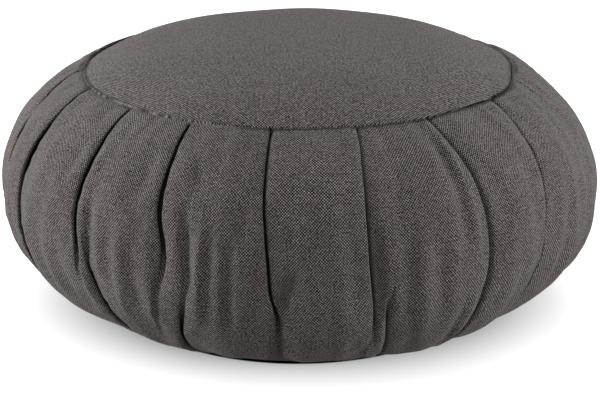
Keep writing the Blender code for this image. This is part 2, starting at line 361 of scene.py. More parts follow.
def even_steps(points, count):
    """The same line with count points at even distances along it."""
    steps = np.hypot(*np.diff(points, axis=0).T)
    along = np.concatenate([[0.0], np.cumsum(steps)])
    wanted = np.linspace(0.0, along[-1], count)
    return np.stack([np.interp(wanted, along, points[:, k]) for k in (0, 1)], axis=1)


def outward(points):
    """The normal of each point of a line that runs down its outer side."""
    along = np.gradient(points, axis=0)
    along /= np.hypot(*along.T)[:, None]
    return np.stack([-along[:, 1], along[:, 0]], axis=1)


# %% Side profile
LEVELS = 108
ROLL_LEVELS = 4
ROLL_RADIUS = 0.0014
ROLL_TURN = math.radians(100.0)
SEAM_GROOVE = 0.0009
SEAM_CLEARANCE = 0.0002
CURVE_POINTS = 400
# how far the curves are pulled: out of and down from the top seam, up and down at the widest
# line, and out of and up from the bottom seam
SHOULDER_OUT, SHOULDER_DOWN = 0.0532, 0.0208
WIDEST_UP, WIDEST_DOWN = 0.0190, 0.0315
FOOT_OUT, FOOT_UP = 0.0250, 0.0135

fine = np.linspace(0.0, 1.0, CURVE_POINTS)
side_start = SEAM_RADIUS + SEAM_GROOVE + ROLL_RADIUS
upper = bezier(
    (side_start, TOP_SEAM_HEIGHT - SEAM_CLEARANCE),
    (SEAM_RADIUS + SHOULDER_OUT, TOP_SEAM_HEIGHT - SHOULDER_DOWN),
    (WIDEST_RADIUS, WIDEST_HEIGHT + WIDEST_UP),
    (WIDEST_RADIUS, WIDEST_HEIGHT),
    fine,
)
lower = bezier(
    (WIDEST_RADIUS, WIDEST_HEIGHT),
    (WIDEST_RADIUS, WIDEST_HEIGHT - WIDEST_DOWN),
    (SEAM_RADIUS + FOOT_OUT, BOTTOM_SEAM_HEIGHT + FOOT_UP),
    (side_start, BOTTOM_SEAM_HEIGHT + SEAM_CLEARANCE),
    fine,
)
profile = even_steps(np.concatenate([upper, lower[1:]]), LEVELS)
normals = outward(profile)
print("strip between its seams:", round(float(np.hypot(*np.diff(profile, axis=0).T).sum()) / MM), "mm")


# %% Rolls into the seams
def roll(start, normal, inwards):
    """Points that carry the profile over a small round edge and into the seam."""
    tangent = np.array([-normal[1], normal[0]]) * inwards
    centre = start - normal * ROLL_RADIUS
    directions = []
    for step in range(1, ROLL_LEVELS + 1):
        turn = ROLL_TURN * step / ROLL_LEVELS
        directions.append(normal * math.cos(turn) + tangent * math.sin(turn))
    directions = np.array(directions)
    return centre + directions * ROLL_RADIUS, directions


top_roll, top_roll_normals = roll(profile[0], normals[0], 1.0)
bottom_roll, bottom_roll_normals = roll(profile[-1], normals[-1], -1.0)
line = np.concatenate([top_roll[::-1], profile, bottom_roll])
line_normals = np.concatenate([top_roll_normals[::-1], normals, bottom_roll_normals])
into_seam = np.linspace(1.0, 1.0 / ROLL_LEVELS, ROLL_LEVELS)
heights = np.pad(profile[:, 1], ROLL_LEVELS, mode="edge")
in_roll = np.concatenate([into_seam, np.zeros(LEVELS), into_seam[::-1]])
radii = np.maximum(line[:, 0], SEAM_RADIUS)
down = np.concatenate([[0.0], np.cumsum(np.hypot(*np.diff(line, axis=0).T))])
print("levels", len(line))

# %% [markdown]
# ## The knife pleats
# A knife pleat is a fold laid flat to one side. Here the right-hand edge of each panel folds back
# under itself and the next panel starts inside that fold. Each opening is given as a track: its
# angle at a few heights. Most run from seam to seam. Where the stuffing has pushed one open, the
# fold from the top seam fades out and the one from the bottom seam starts beside it, so these
# have two tracks. `held` says how much of the fold is left at each height.

# %% Tracks of the folds
BEND_ROUNDING = np.array((-6, -3, 0, 3, 6)) * MM


class Track:
    """One fold line: its route, and how the fold opens along it. Lengths are in millimetres.

    mouth is how wide the fold gapes, step how far the next panel starts below this one, edge how
    thick the rolled edge is, and lap how far the cloth runs back under it. A fold that opens ends
    at upper_end or lower_end, and takes the length fade to do so.
    """

    def __init__(self, route, mouth, step=1.0, upper_end=200, lower_end=-50, fade=18, edge=2.3, lap=9.0):
        route = sorted((height * MM, angle) for height, angle in route)
        self.route_heights = np.array([height for height, _ in route])
        self.route_angles = np.array([angle for _, angle in route])
        self.mouth, self.step, self.edge, self.lap = mouth * MM, step * MM, edge * MM, lap * MM
        self.upper_end, self.lower_end, self.fade = upper_end * MM, lower_end * MM, fade * MM

    def angle(self, height):
        """The angle at each height, rounded off where the route bends."""
        total = np.zeros_like(height)
        for shift in BEND_ROUNDING:
            total += np.interp(height + shift, self.route_heights, self.route_angles)
        return total / len(BEND_ROUNDING)

    def held(self, height):
        """1 where the fold is whole, 0 where it has opened out flat."""
        below_top = ease((self.upper_end - height) / self.fade)
        above_low = ease((height - self.lower_end) / self.fade)
        return below_top * above_low


# %% The fold lines one by one
BACK_HEIGHTS = (148, 110, 70, 13)
# the angles at those heights, and the mouth
BACK_ROUTES = (
    ((-262.5, -267, -269, -271), 1.6),
    ((-241, -243.5, -245, -246.5), 2.0),
    ((-219.5, -221, -223, -222.5), 1.4),
    ((-197, -199.5, -198.5, -200), 1.8),
    ((-174.5, -176, -178, -177.5), 2.2),
    ((-153, -153.5, -155, -156), 1.4),
    ((-129.5, -129, -130.5, -131), 1.8),
    ((-107, -105, -103.5, -104), 1.8),
)
BACK_TRACKS = [Track(zip(BACK_HEIGHTS, angles), mouth) for angles, mouth in BACK_ROUTES]
# height in millimetres and angle in degrees of each point, then the mouth and the step
FRONT_TRACKS = [
    Track([(148, -83.4), (141, -81.2), (128, -78.6), (104, -76.8), (93, -75.6), (50, -74.5),
           (13, -74)], 4.6, 2.2, edge=1.3),
    Track([(148, -65), (139, -62.8), (118, -62.8), (98, -63.1), (80, -62.8), (50, -61), (13, -60)],
           3.4, 2.2),
    Track([(148, -44.2), (139, -43.2), (130, -42.8), (104, -42.7), (94, -41.8), (76, -40.7),
           (13, -40)], 2.4, 2.0, lower_end=64, fade=34),
    Track([(112, -39.2), (92, -39.2), (78, -38.5), (70, -38), (61, -37.1), (51, -36.6), (13, -36)],
           1.8, 1.2, upper_end=104, fade=40, lap=3.0),
    Track([(148, -25.7), (143, -25.2), (131, -24.9), (119, -24.9), (109, -24.3), (99, -23.1),
           (86, -23), (60, -25), (13, -26)], 2.1, 1.7, lower_end=70, fade=36),
    Track([(112, -17.9), (95, -17.6), (82, -18.5), (73, -19), (57, -20.2), (42, -21), (13, -21.5)],
           1.6, 1.2, upper_end=86, fade=46, lap=4.0),
    Track([(148, -6.5), (121, -6.2), (113, -5.8), (91, -5.1), (74, -4.8), (69, -3.9), (63, -3.6),
           (13, -3.8)], 1.4, 0.8, lower_end=36, fade=36),
    Track([(148, 13.2), (142, 12.3), (135, 11.7), (119, 11.2), (102, 11.2), (89, 11.4), (75, 11.9),
           (60, 12.2), (40, 11.8), (13, 11.4)], 1.7, 0.8, lower_end=46, fade=22),
    Track([(148, 17), (112, 16.4), (98, 15.2), (86, 14.8), (76, 14.5), (67, 14.3), (59, 14.3),
           (38, 14.9), (13, 15.2)], 1.4, 1.0, upper_end=84, fade=34, lap=2.0),
    Track([(148, 30.8), (141, 31.9), (128, 32.8), (107, 33.3), (88, 33.4), (78, 33.1), (59, 31.4),
           (41, 29.7), (13, 29)], 2.7, 1.0),
    Track([(148, 55), (143, 52.6), (134, 51.2), (113, 48.9), (95, 47.6), (72, 46.2), (53, 44.4),
           (13, 44)], 1.7, 0.5, edge=1.5),
    Track([(148, 75), (141, 71), (118, 68.8), (98, 69), (80, 66.5), (66, 63.5), (13, 60)], 1.1, 0.6,
           edge=1.5),
]
TRACKS = BACK_TRACKS + FRONT_TRACKS
print("fold lines:", len(TRACKS))

# %% [markdown]
# ## Soft folds
# Between the pleats the cloth isn't smooth. Where the strip is gathered in towards the floor it
# stands in long soft ridges with troughs between them, deepest just under the widest line. The
# ones that show from the front are listed one by one, each with a top and a low end, how far it
# stands out and how wide it is. The panels at the back get folds of the same kind by a loop.

# %% Folds listed one by one
# height and angle at the top, height and angle at the low end, rise and half width in millimetres
FRONT_FOLDS = [
    (96, -41.9, 58, -38.0, 1.2, 1.6),
    (110, -38.4, 84, -37.6, -2.4, 3.4),
    (104, -33.4, 62, -32.8, -1.9, 3.4),
    (106, -36.0, 60, -34.6, 1.0, 2.4),
    (100, -30.6, 56, -30.4, 1.6, 3.0),
    (98, -28.4, 62, -27.4, -1.7, 2.8),
    (92, -25.2, 52, -24.8, 1.4, 2.8),
    (74, -33.6, 36, -30.0, 1.3, 2.0),
    (66, -31.0, 34, -27.8, 1.0, 1.8),
    (60, -34.8, 30, -31.8, 0.7, 1.8),
    (84, -22.9, 46, -24.6, -1.1, 2.0),
    (112, -18.9, 78, -17.8, -2.8, 2.8),
    (108, -16.0, 60, -16.6, 2.0, 2.6),
    (104, -14.1, 60, -14.7, -1.1, 2.2),
    (102, -12.7, 56, -13.1, 1.4, 2.2),
    (100, -10.9, 58, -11.2, -1.4, 2.4),
    (98, -9.2, 54, -9.6, 1.2, 2.2),
    (94, -7.3, 58, -7.0, -0.8, 2.0),
    (88, -0.6, 70, -3.0, -2.6, 2.6),
    (80, -2.6, 66, -2.4, -1.6, 2.6),
    (76, -4.6, 64, -2.2, 1.0, 1.6),
    (66, -3.2, 12, -3.6, -2.0, 1.4),
    (64, -5.2, 22, -5.2, 0.7, 1.8),
    (70, 0.8, 30, 1.0, 0.7, 6.0),
    (106, 8.4, 66, 8.9, -1.5, 3.0),
    (106, 12.7, 66, 13.2, -2.6, 2.2),
    (100, 17.4, 56, 17.8, -1.1, 3.2),
    (102, 20.2, 54, 20.4, 1.0, 3.0),
    (100, 23.2, 58, 23.6, -1.1, 3.2),
    (98, 26.0, 50, 26.0, 1.1, 3.2),
    (142, 30.0, 96, 30.5, 1.5, 1.7),
    (140, 28.4, 92, 28.4, -1.8, 3.0),
    (116, 31.9, 84, 32.2, -0.9, 1.4),
    (70, 30.6, 34, 27.4, 1.3, 1.5),
    (66, 28.8, 36, 25.8, -1.0, 2.0),
    (96, 38.0, 48, 36.4, 0.9, 4.0),
    (80, 41.6, 40, 39.6, -1.1, 2.8),
    (130, 49.4, 70, 46.0, 0.8, 1.8),
    (100, 52.6, 46, 49.6, 1.2, 2.6),
    (104, 55.8, 50, 52.4, -1.5, 3.0),
    (122, 59.0, 52, 55.6, 1.2, 3.0),
    (112, 62.4, 56, 58.6, -1.0, 2.8),
    (134, 74.0, 84, 74.5, 1.0, 3.0),
    (100, 80.0, 50, 77.0, -1.2, 3.6),
    (108, -71.5, 50, -70.0, 1.2, 3.4),
    (100, -67.0, 56, -65.0, -1.0, 2.6),
    (96, -56.0, 44, -54.0, 1.2, 3.8),
    (90, -52.6, 50, -50.4, -1.2, 2.6),
    (88, -49.4, 46, -47.0, 1.0, 2.6),
    (84, -46.0, 46, -44.0, -1.0, 2.4),
]
print("folds placed by hand:", len(FRONT_FOLDS))

# %% Folds of the back, by a loop
BACK_FOLD_LEVEL = 70 * MM
BACK_FOLD_PLACES = (0.16, 0.34, 0.52, 0.70, 0.86)
BACK_FOLD_RISES = (-1.2, 1.0, -0.9, 1.0, -0.8)
BACK_FOLD_SHIFT = (-0.05, 0.05)
BACK_FOLD_TOP = (94, 116)
BACK_FOLD_LOW = (42, 64)
BACK_FOLD_LEAN = (-1.2, 1.2)
BACK_FOLD_SIZE = (0.6, 1.3)
BACK_FOLD_WIDTH = (2.8, 4.6)

chance = np.random.default_rng(7)
back_folds = []
for left, right in zip([FRONT_TRACKS[-1]] + BACK_TRACKS, BACK_TRACKS + [FRONT_TRACKS[0]]):
    start, end = (float(track.angle(np.array([BACK_FOLD_LEVEL]))[0]) for track in (left, right))
    end += 360 if end < start else 0
    for place, rise in zip(BACK_FOLD_PLACES, BACK_FOLD_RISES):
        angle = start + (end - start) * (place + chance.uniform(*BACK_FOLD_SHIFT))
        top, low = chance.uniform(*BACK_FOLD_TOP), chance.uniform(*BACK_FOLD_LOW)
        low_angle = angle + chance.uniform(*BACK_FOLD_LEAN)
        size = rise * chance.uniform(*BACK_FOLD_SIZE)
        back_folds.append((top, angle, low, low_angle, size, chance.uniform(*BACK_FOLD_WIDTH)))
FOLDS = FRONT_FOLDS + back_folds
print("soft folds:", len(FOLDS))

# %% [markdown]
# ## From a flat strip to a pleated side
# The strip starts as what it is: one long grid, flat. Every column of the grid belongs either to
# a fold (the rolled edge, its underside, the hidden turn and the start of the next panel) or to
# the face of a panel. Row by row, each column gets a distance round the cushion, a depth below
# the full form and a painted shade for the fold and its groove, and the grid is laid there.
# Numbers for whole rows at once keep this quick.

# %% How a fold changes towards the seams
SEAM_EDGE = 1.0 * MM
SEAM_MOUTH = 1.3 * MM
SEAM_STEP = 0.4 * MM
SEAM_POCKET = 3.6 * MM
SEAM_ZONE = 0.55
POCKET_BELOW_EDGE = 3.6 * MM
POCKET_PER_MOUTH = 0.8
LOST_IN_ROLL = 0.7
LAP_LOST_IN_ROLL = 0.5


def near_seam(height):
    """1 at either seam, 0 around the widest line."""
    above = (height - WIDEST_HEIGHT) / (TOP_SEAM_HEIGHT - WIDEST_HEIGHT)
    below = (WIDEST_HEIGHT - height) / (WIDEST_HEIGHT - BOTTOM_SEAM_HEIGHT)
    return ramp(np.maximum(above, below), SEAM_ZONE, 1.0)


def fold_form(track):
    """Thickness of the edge, width of the mouth, step and pocket depth of a fold at each level."""
    seam = near_seam(heights)
    edge = track.edge + (SEAM_EDGE - track.edge) * seam
    mouth = track.mouth + (SEAM_MOUTH - track.mouth) * seam
    step = track.step + (SEAM_STEP - track.step) * seam
    pocket = track.edge + POCKET_BELOW_EDGE + POCKET_PER_MOUTH * track.mouth
    pocket = pocket + (SEAM_POCKET - pocket) * seam
    ending = 1 - LOST_IN_ROLL * in_roll
    return edge * ending, mouth, step * ending, pocket * ending


# %% Columns of one fold
# the rolled edge, the wall under it, the two points of the hidden turn, and the wall back out
ROLL_COLUMNS = 6
WALL_COLUMNS = 2
FOLD_COLUMNS = ROLL_COLUMNS + WALL_COLUMNS + 2 + WALL_COLUMNS
NOSE_SHARE = 0.42
UNDER_LAYERS = 1.4 * MM
WALL_SLOPE = 0.1
HIDDEN_TURN = 0.4 * MM
HIDDEN_TURN_SHARE = 0.6
MOUTH_WALL = 0.1
OPEN_WIDTH = 3.6 * MM
# painted shade across the rolled edge: none on its top, darker as it turns under, where no light reaches
EDGE_SHADE = (0.0, 0.0, 0.0, 0.35, 0.8, 1.0)
SHADE_FROM = 0.3


def fold_columns(track):
    """Distance from the fold line (right is positive), depth and painted shade of the columns of one
    fold.

    All come back with a row for each level. A fold that has opened is blended into a flat strip.
    """
    edge, mouth, _, pocket = fold_form(track)
    lap = track.lap * (1 - LAP_LOST_IN_ROLL * in_roll)
    nose = edge * NOSE_SHARE
    under = np.minimum(UNDER_LAYERS, pocket - edge)
    across, depth = [], []
    for i in range(ROLL_COLUMNS):
        turn = math.pi * i / (ROLL_COLUMNS - 1)
        across.append(-nose + nose * math.sin(turn))
        depth.append(edge * (0.5 - 0.5 * math.cos(turn)))
    for i in range(1, WALL_COLUMNS + 1):
        across.append(-nose - (lap - nose) * i / WALL_COLUMNS)
        depth.append(edge + WALL_SLOPE * under * i)
    across += [-lap - HIDDEN_TURN, -lap]
    depth += [edge + HIDDEN_TURN_SHARE * under, edge + under]
    for i in range(1, WALL_COLUMNS + 1):
        share = i / WALL_COLUMNS
        across.append(-lap * (1 - share) + MOUTH_WALL * mouth * share)
        depth.append(edge + under + (pocket - edge - under) * share)
    across, depth = np.stack(across, axis=1), np.stack(depth, axis=1)
    open_across = (np.arange(FOLD_COLUMNS) / (FOLD_COLUMNS - 1) - 0.5) * OPEN_WIDTH
    held = track.held(heights)[:, None]
    # painted shade: full down in the fold, less across the rolled edge, and gone where the fold has
    # opened
    dark = np.ones(FOLD_COLUMNS)
    dark[:ROLL_COLUMNS] = EDGE_SHADE
    return across * held + open_across * (1 - held), depth * held, dark * ramp(held, SHADE_FROM, 1.0)


# %% Columns of one face
NEAR_COLUMNS = np.array([0.6, 1.2, 1.8, 2.6, 4.0]) * MM
NEAR_SHARE = 0.35
STEP_REACH = 26 * MM
STEP_REACH_SHARE = 0.7
GROOVE_WIDTH = 0.80
SHADE_WIDTH = 0.72
PUFF = 1.4 * MM
PUFF_SHARE = 0.03
PUFF_LOST_AT_SEAM = 0.6
RIM_RISE = 0.4 * MM
RIM_PLACE = 2.0 * MM
RIM_WIDTH = 1.6 * MM


def face_columns(left, right, width, left_end, right_start, count):
    """Distance from the left fold line, depth and painted shade of the columns across one face."""
    room = width + right_start - left_end
    near = NEAR_COLUMNS[None, :] * np.minimum(1.0, NEAR_SHARE * room / NEAR_COLUMNS[-1])[:, None]
    shares = (np.arange(1, count) / count)[None, :]
    rest = near[:, -1:] + (room[:, None] - near[:, -1:]) * shares
    from_left = np.concatenate([near, rest], axis=1)
    across = left_end[:, None] + from_left
    _, mouth, step, pocket = fold_form(left)
    held = left.held(heights)
    mouth, step, pocket = mouth[:, None], (step * held)[:, None], (pocket * held)[:, None]
    reach = np.minimum(STEP_REACH, STEP_REACH_SHARE * width)[:, None]
    groove = (pocket - step) * np.exp(-((from_left / (GROOVE_WIDTH * mouth)) ** 4))
    lowered = step * (1 - ease(from_left / reach)) + groove
    puff = np.minimum(PUFF, PUFF_SHARE * width) * (1 - PUFF_LOST_AT_SEAM * near_seam(heights))
    puff = puff[:, None] * np.sin(math.pi * np.clip(from_left / room[:, None], 0, 1))
    from_right = width[:, None] - across
    rim = RIM_RISE * np.exp(-(((from_right - RIM_PLACE) / RIM_WIDTH) ** 2)) * right.held(heights)[:, None]
    # painted shade in the groove where the face starts beside the fold, gone where the fold has opened
    dark = np.exp(-((from_left / (SHADE_WIDTH * mouth)) ** 4)) * ramp(held[:, None], SHADE_FROM, 1.0)
    return across, lowered - puff - rim, dark


# %% Lay the columns side by side
FACE_COLUMN_SPACING = 2.9 * MM
FEWEST_COLUMNS = 3

angles_at = [track.angle(heights) for track in TRACKS]
fold_parts = [fold_columns(track) for track in TRACKS]
# the third list gathers a painted shade for each point: dark down in the folds and their grooves
position, depth, painted_shade, panel_of = [], [], [], []
for i, track in enumerate(TRACKS):
    following = (i + 1) % len(TRACKS)
    turn = angles_at[following] - angles_at[i] + (360 if following == 0 else 0)
    width = np.radians(turn) * radii
    fold_across, fold_depth, fold_dark = fold_parts[i]
    left_end, right_start = fold_across[:, -1], fold_parts[following][0][:, 0]
    count = round((float(width.max()) - NEAR_COLUMNS[-1]) / FACE_COLUMN_SPACING)
    count = max(FEWEST_COLUMNS, count)
    across, deep, dark = face_columns(track, TRACKS[following], width, left_end, right_start, count)
    start = np.radians(angles_at[i])[:, None]
    position.append(start + np.concatenate([fold_across, across], axis=1) / radii[:, None])
    depth.append(np.concatenate([fold_depth, deep], axis=1))
    painted_shade.append(np.concatenate([fold_dark, dark], axis=1))
    half = ROLL_COLUMNS + WALL_COLUMNS
    panel_of += [i - 1] * half + [i] * (fold_across.shape[1] + across.shape[1] - half)
position.append(position[0][:, :1] + 2 * math.pi)
depth.append(depth[0][:, :1])
painted_shade.append(painted_shade[0][:, :1])
position, depth, painted_shade = (np.concatenate(parts, axis=1) for parts in (position, depth, painted_shade))
COLUMNS = position.shape[1]
print("grid", len(heights), "x", COLUMNS)

# %% [markdown]
# ## The form under the folds
# A stuffed cushion isn't quite round. Each pleat pulls its seam in or lets it out, and low down
# beside the front the strip is less full. At the front the bottom seam is drawn up off the table,
# and the black painted shadow of the table shows under it. These departures are read off at a few
# angles, rounded, and added to the even form.

# %% Bends and lifts of the seams
# angle, and how far the seam lies outside (positive) or inside its circle there, in millimetres
SEAM_BENDS = (
    (-88, 0.4), (-64, 1.9), (-53, 1.2), (-44, -0.2), (-34, 2.0), (-25, 2.6), (-16, 0.4), (0, -1.6),
    (13, -1.2), (22, -0.7), (31, -0.2), (43, -1.8), (55, -0.6), (63, 1.1), (71, 0.0), (80, -1.6),
    (98, 1.0), (119, -0.8), (140, 1.2), (163, -1.0), (185, 0.8), (207, -0.9), (230, 1.1),
    (253, -0.8),
)
# angle, and how far the bottom seam is drawn up from its level there, in millimetres
LOWER_LIFTS = (
    (-60, 0.4), (-50, 0.6), (-36, 2.6), (-29, 4.0), (-18, 3.6), (-12, 5.0), (8, 4.9), (15, 5.5),
    (25, 6.4), (32, 4.8), (37, 1.6), (45, 0.8), (55, 0.3), (90, 0.0), (180, 0.6), (260, 0.3),
)
LOWER_BEND = 0.3
ANGLE_ROUNDING = (-5, -2.5, 0, 2.5, 5)
# degrees where the top seam starts to close, is closed, is still closed, and is open again
LEFT_FLUSH = (-100, -90, -19, -9)
RIGHT_FLUSH = (62, 74, 128, 140)
RIGHT_CLOSED = 0.85


def round_values(angles, table):
    """Millimetres given at some angles in degrees, read off and rounded at angles in radians."""
    at, sizes = np.array(table, float).T
    total = 0.0
    for shift in ANGLE_ROUNDING:
        total = total + np.interp(np.degrees(angles) + shift, at, sizes * MM, period=360)
    return total / len(ANGLE_ROUNDING)


def seam_bend(angles):
    """How far the seam leaves its circle."""
    return round_values(angles, SEAM_BENDS)


def seam_lift(angles):
    """How far the bottom seam is drawn up from its level."""
    return round_values(angles, LOWER_LIFTS)


def rim_lift(angles, radius):
    """How far the underside follows that lift, from its rim to where it lies flat."""
    return seam_lift(angles) * ramp(radius, RESTING_RADIUS, SEAM_RADIUS)


def turned_degrees(angles):
    """Angles in radians as degrees from -180 to 180."""
    return (np.degrees(angles) + 180) % 360 - 180


def seam_closed(angles):
    """1 where the two cloths meet flush at the top seam, 0 where they roll down into a groove."""
    degrees = turned_degrees(angles)
    return zone(degrees, *LEFT_FLUSH) + RIGHT_CLOSED * zone(degrees, *RIGHT_FLUSH)


# %% Where the strip is less full
LOW_PULL = 4.8 * MM
LOW_PULL_TOP = 0.076
LOW_PULL_BULGE = 0.85
LEFT_PULL = 2.4 * MM
BACK_SHARE_LOST = 0.45
RIGHT_SHARE_LOST = 0.75
FRONT_SHARE = 0.35
RIGHT_SHOULDER_PULL = 2.2 * MM
LEFT_SHOULDER_PULL = 1.2 * MM
# heights, and then degrees from the front, between which a pull fades in, or in and out
SHOULDER_ZONE = (0.080, 0.110, 0.128, 0.148)
RIGHT_ZONE = (50, 75, 100, 125)
FRONT_ZONE = (-55, -35, -5, 15)
PAST_FRONT = (20, 50)
TO_THE_BACK = (105, 135)
AT_THE_SIDE = (62, 82)
LEFT_PULL_END = (-135, -110)


def side_pull(angles):
    """Where the stuffing fills the strip less: low down beside the front, and at the shoulders."""
    degrees = turned_degrees(angles)
    turned = np.abs(degrees)
    share = np.clip((heights - BOTTOM_SEAM_HEIGHT) / (LOW_PULL_TOP - BOTTOM_SEAM_HEIGHT), 0, 1)
    low = (np.sin(math.pi * share**LOW_PULL_BULGE))[:, None]
    shoulder = zone(heights, *SHOULDER_ZONE)[:, None]
    beside_front = ramp(turned, *PAST_FRONT) * (1 - BACK_SHARE_LOST * ramp(turned, *TO_THE_BACK))
    beside_front *= 1 - RIGHT_SHARE_LOST * zone(degrees, *RIGHT_ZONE)
    beside_front += FRONT_SHARE * zone(degrees, *FRONT_ZONE)
    left, right = ramp(-degrees, *AT_THE_SIDE), ramp(degrees, *AT_THE_SIDE)
    pull = low * (LOW_PULL * beside_front + LEFT_PULL * left * ramp(degrees, *LEFT_PULL_END))
    return pull + shoulder * (RIGHT_SHOULDER_PULL * right + LEFT_SHOULDER_PULL * left)


# %% Raise the soft folds
FOLD_RUN_OUT = 0.3


def fold_relief(angle_grid):
    """How far the soft folds lift each point, in metres."""
    relief = np.zeros_like(angle_grid)
    degrees = np.degrees(angle_grid)
    for top, top_angle, low, low_angle, rise, half_width in FOLDS:
        share = ((top * MM - heights) / ((top - low) * MM))[:, None]
        centre = top_angle + (low_angle - top_angle) * np.clip(share, -FOLD_RUN_OUT, 1 + FOLD_RUN_OUT)
        away = (degrees - centre + 180) % 360 - 180
        across = np.radians(away) * radii[:, None] / (half_width * MM)
        fade = zone(share, -FOLD_RUN_OUT, FOLD_RUN_OUT, 1 - FOLD_RUN_OUT, 1 + FOLD_RUN_OUT)
        relief += rise * MM * fade * np.exp(-(across**2))
    return relief


# %% Small waves and gathers
# the counts are waves in one turn round the cushion
RIPPLES = 26
RIPPLE_COUNTS = (14, 110)
RIPPLE_LEAN = 14
RIPPLE_LEAN_LENGTH = 0.18
RIPPLE_RISE = 4.4 * MM
RIPPLE_COUNT_ADDED = 25
GATHERS = 14
GATHER_COUNTS = (70, 240)
GATHER_RISE = 0.05 * MM
GATHER_REACH = 9 * MM
GATHERS_LOST_FLUSH = 0.8


def ripple(angle_grid):
    """Small uneven waves, long from seam to seam and short across, as stuffed cloth has."""
    waves = np.random.default_rng(23)
    total = np.zeros_like(angle_grid)
    for _ in range(RIPPLES):
        round_count = int(waves.integers(*RIPPLE_COUNTS))
        lean = waves.uniform(-RIPPLE_LEAN, RIPPLE_LEAN) * down[:, None] / RIPPLE_LEAN_LENGTH
        wave = np.sin(round_count * angle_grid + lean + waves.uniform(0, 2 * math.pi))
        total += RIPPLE_RISE / (round_count + RIPPLE_COUNT_ADDED) * wave
    return total


def sum_of_waves(waves, number, counts, angles):
    """Waves round the cushion, each with its own count in one turn and its own start."""
    total = np.zeros(angles.shape)
    for _ in range(number):
        total += np.sin(int(waves.integers(*counts)) * angles + waves.uniform(0, 2 * math.pi))
    return total


def seam_gathers(angle_grid):
    """Short creases that run out of each seam, where the stitches pull."""
    total = sum_of_waves(np.random.default_rng(31), GATHERS, GATHER_COUNTS, angle_grid)
    near = np.exp(-np.minimum(down, down[-1] - down) / GATHER_REACH) * (1 - in_roll)
    return GATHER_RISE * total * near[:, None] * (1 - GATHERS_LOST_FLUSH * seam_closed(angle_grid))


# %% [markdown]
# ## Letting the stuffing push
# How far each panel swells between its folds is left to a cloth simulation. A plain tube of cloth
# in the form of the side is held along the seams and the fold lines, given a little spare cloth,
# and blown up from inside with gravity off. The form already has the right fullness, so only the
# differences round each level are kept. They are limited to a few millimetres, fade out low down
# where the strip lies on the table, and are then added to the pleated strip.


# %% Grids of cloth
def read_points(thing):
    """The places of an object's points, one row each."""
    places = np.empty(len(thing.data.vertices) * 3, np.float32)
    thing.data.vertices.foreach_get("co", places)
    return places.reshape(-1, 3)


def move_points(thing, places):
    """Put an object's points at the given places."""
    thing.data.vertices.foreach_set("co", places.astype(np.float32).ravel())
    thing.data.update()


def corner_points(thing):
    """The number of the point at each face corner of an object."""
    numbers = np.empty(len(thing.data.loops), np.int32)
    thing.data.loops.foreach_get("vertex_index", numbers)
    return numbers


def lay_threads(thing, uv):
    """Give an object its cloth coordinates in metres, one row for each face corner."""
    layer = thing.data.uv_layers[0] if thing.data.uv_layers else thing.data.uv_layers.new()
    layer.name = "cloth"
    layer.data.foreach_set("uv", uv.astype(np.float32).ravel())


def flat_cloth(rows, columns):
    """A flat grid of points, with the row and the column of each of them."""
    bpy.ops.object.select_all(action="DESELECT")
    bpy.ops.mesh.primitive_grid_add(x_subdivisions=columns - 1, y_subdivisions=rows - 1, size=1.0)
    cloth = bpy.context.active_object
    places = read_points(cloth)
    point_column = np.rint((places[:, 0] + 0.5) * (columns - 1)).astype(int)
    point_row = np.rint((0.5 - places[:, 1]) * (rows - 1)).astype(int)
    return cloth, point_row, point_column


def ring_points(angles, ring_radius, height):
    """Points at the given angles round the axis."""
    x = AXIS_X + ring_radius * np.sin(angles)
    y = AXIS_Y - ring_radius * np.cos(angles)
    return np.stack([x, y, height + 0.0 * angles], axis=-1)


# %% A tube held along its folds
SIM_COLUMNS = 240
SIM_STEP = 3
SIM_FRAMES = 20
SPARE_CLOTH = 0.012
STUFFING_PRESSURE = 4.0
CLOTH_MASS = 0.3
CLOTH_STIFFNESS = 20.0
CLOTH_BENDING = 0.6
HOLD_WIDTH = 4 * MM
LEAST_HOLD = 0.05


def fold_hold(angles, levels):
    """How firmly each point of the tube is held: 1 in a whole fold and in both seams."""
    hold = np.zeros((len(levels), len(angles)))
    for track in TRACKS:
        away = np.degrees(angles)[None, :] - track.angle(heights[levels])[:, None]
        away = np.radians((away + 180) % 360 - 180) * radii[levels][:, None]
        held = track.held(heights[levels])[:, None]
        hold = np.maximum(hold, held * np.exp(-((away / HOLD_WIDTH) ** 2)))
    hold[[0, -1]] = 1.0
    return hold


def blow_up(tube, hold):
    """Stuff the tube with pressure while its held points stay, and keep the result."""
    held_points = tube.vertex_groups.new(name="held")
    for i, share in enumerate(hold):
        if share > LEAST_HOLD:
            held_points.add([i], float(share), "REPLACE")
    cloth = tube.modifiers.new("stuffed", "CLOTH")
    cloth.settings.vertex_group_mass = "held"
    cloth.settings.use_pressure = True
    cloth.settings.uniform_pressure_force = STUFFING_PRESSURE
    cloth.settings.shrink_min = -SPARE_CLOTH
    cloth.settings.mass = CLOTH_MASS
    cloth.settings.tension_stiffness = CLOTH_STIFFNESS
    cloth.settings.compression_stiffness = CLOTH_STIFFNESS
    cloth.settings.bending_stiffness = CLOTH_BENDING
    cloth.settings.effector_weights.gravity = 0.0
    cloth.collision_settings.use_collision = False
    for frame_number in range(1, SIM_FRAMES + 1):
        bpy.context.scene.frame_set(frame_number)
    bpy.ops.object.modifier_apply(modifier="stuffed")
    bpy.context.scene.frame_set(1)


